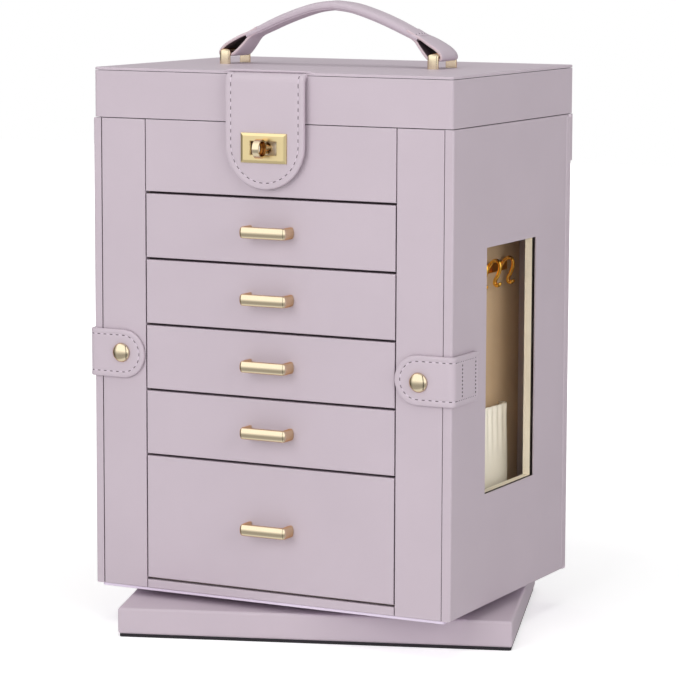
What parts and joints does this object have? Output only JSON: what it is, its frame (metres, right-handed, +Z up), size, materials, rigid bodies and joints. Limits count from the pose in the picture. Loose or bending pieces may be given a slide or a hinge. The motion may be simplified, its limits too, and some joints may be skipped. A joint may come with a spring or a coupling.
{
  "type": "rotating jewelry box",
  "caption": "Upright jewelry cabinet on a turntable base, with a strapped lid and carry handle, front drawers and windowed side doors.",
  "frame": {"origin": "on the turntable's axis, at the underside of the foot pad", "axes": "+Z up along the turntable's axis, -Y out of the drawer fronts, +X out of the right-hand door"},
  "size_m": [0.3298, 0.2824, 0.4467],
  "materials": {
    "leatherette": "satin, fine pebble",
    "leatherette_trim": "satin, stitched",
    "velvet": "short velvet",
    "brass": "pale satin gold",
    "hook_gold": "polished gold",
    "clear_pane": "clear",
    "mirror_glass": "silvered",
    "foot_pad": "matt",
    "bearing_steel": "zinc plated",
    "bottom_plate": "smooth"
  },
  "bodies": {
    "base": {"base_foot_pad": "foot_pad", "base_plinth": "leatherette", "turntable_lower_plate": "bearing_steel", "turntable_balls": "bearing_steel", "turntable_base_screws": "bearing_steel"},
    "cabinet": {"turntable_upper_plate": "bearing_steel", "turntable_cabinet_screws": "bearing_steel", "bottom_plate": "bottom_plate", "cabinet_floor": "velvet", "cabinet_back": "leatherette", "front_frame": "leatherette", "side_partitions": "velvet", "drawer_shelves": "velvet", "top_tray_liner": "velvet", "ring_rolls": "velvet", "lock_base": "brass", "snap_studs": "brass", "necklace_hooks": "hook_gold", "necklace_pockets": "velvet", "lid_hinge_flap": "leatherette", "lid_hinge_leather": "leatherette", "door_hinge_leather_left": "leatherette", "door_hinge_leather_right": "leatherette"},
    "lid": {"lid_top_panel": "leatherette", "lid_frame": "leatherette", "lid_lining": "velvet", "lid_mirror": "mirror_glass", "handle_brackets": "brass", "carry_handle": "leatherette_trim", "closure_strap_tab": "leatherette_trim"},
    "closure": {"closure_strap": "leatherette_trim", "closure_plate": "brass"},
    "knob": {"turn_knob": "brass"},
    "door_left": {"door_panel_left": "leatherette", "door_window_left": "clear_pane", "door_lining_left": "velvet", "door_strap_tab_left": "leatherette_trim"},
    "strap_left": {"door_strap_left": "leatherette_trim", "snap_cap_left": "brass"},
    "door_right": {"door_panel_right": "leatherette", "door_window_right": "clear_pane", "door_lining_right": "velvet", "door_strap_tab_right": "leatherette_trim"},
    "strap_right": {"door_strap_right": "leatherette_trim", "snap_cap_right": "brass"},
    "drawer_1": {"drawer_1_front": "leatherette", "drawer_1_tray": "velvet", "drawer_1_pull": "brass"},
    "drawer_2": {"drawer_2_front": "leatherette", "drawer_2_tray": "velvet", "drawer_2_pull": "brass"},
    "drawer_3": {"drawer_3_front": "leatherette", "drawer_3_tray": "velvet", "drawer_3_pull": "brass"},
    "drawer_4": {"drawer_4_front": "leatherette", "drawer_4_tray": "velvet", "drawer_4_pull": "brass"},
    "drawer_5": {"drawer_5_front": "leatherette", "drawer_5_tray": "velvet", "drawer_5_pull": "brass"}
  },
  "joints": [
    {"name": "turntable_spin", "type": "hinge", "parent": "base", "child": "cabinet", "pos_m": [0, 0, 0.0235], "axis": [0, 0, 1], "continuous": true},
    {"name": "lid_hinge", "type": "hinge", "parent": "cabinet", "child": "lid", "pos_m": [0, 0.1064, 0.36465], "axis": [-1, 0, 0], "range_deg": [0, 95], "deforming": ["lid_hinge_leather"]},
    {"name": "closure_strap_lift", "type": "hinge", "parent": "lid", "child": "closure", "pos_m": [0, -0.1023, 0.3977], "axis": [-1, 0, 0], "range_deg": [0, 102]},
    {"name": "turn_knob", "type": "hinge", "parent": "cabinet", "child": "knob", "pos_m": [0, -0.1144, 0.3477], "axis": [0, 1, 0], "range_deg": [0, 90]},
    {"name": "door_right_hinge", "type": "hinge", "parent": "cabinet", "child": "door_right", "pos_m": [0.141, 0.0962, 0.1962], "axis": [0, 0, 1], "range_deg": [0, 110], "deforming": ["door_hinge_leather_right"]},
    {"name": "door_strap_right_fold", "type": "hinge", "parent": "door_right", "child": "strap_right", "pos_m": [0.14375, -0.09165, 0.1939], "axis": [0, 0, 1], "range_deg": [0, 90]},
    {"name": "door_left_hinge", "type": "hinge", "parent": "cabinet", "child": "door_left", "pos_m": [-0.141, 0.0962, 0.1962], "axis": [0, 0, -1], "range_deg": [0, 110], "deforming": ["door_hinge_leather_left"]},
    {"name": "door_strap_left_fold", "type": "hinge", "parent": "door_left", "child": "strap_left", "pos_m": [-0.14375, -0.09165, 0.1968], "axis": [0, 0, -1], "range_deg": [0, 90]},
    {"name": "drawer_1_slide", "type": "slide", "parent": "cabinet", "child": "drawer_1", "axis": [0, -1, 0], "range_m": [0, 0.15]},
    {"name": "drawer_2_slide", "type": "slide", "parent": "cabinet", "child": "drawer_2", "axis": [0, -1, 0], "range_m": [0, 0.15]},
    {"name": "drawer_3_slide", "type": "slide", "parent": "cabinet", "child": "drawer_3", "axis": [0, -1, 0], "range_m": [0, 0.15]},
    {"name": "drawer_4_slide", "type": "slide", "parent": "cabinet", "child": "drawer_4", "axis": [0, -1, 0], "range_m": [0, 0.15]},
    {"name": "drawer_5_slide", "type": "slide", "parent": "cabinet", "child": "drawer_5", "axis": [0, -1, 0], "range_m": [0, 0.15]}
  ]
}
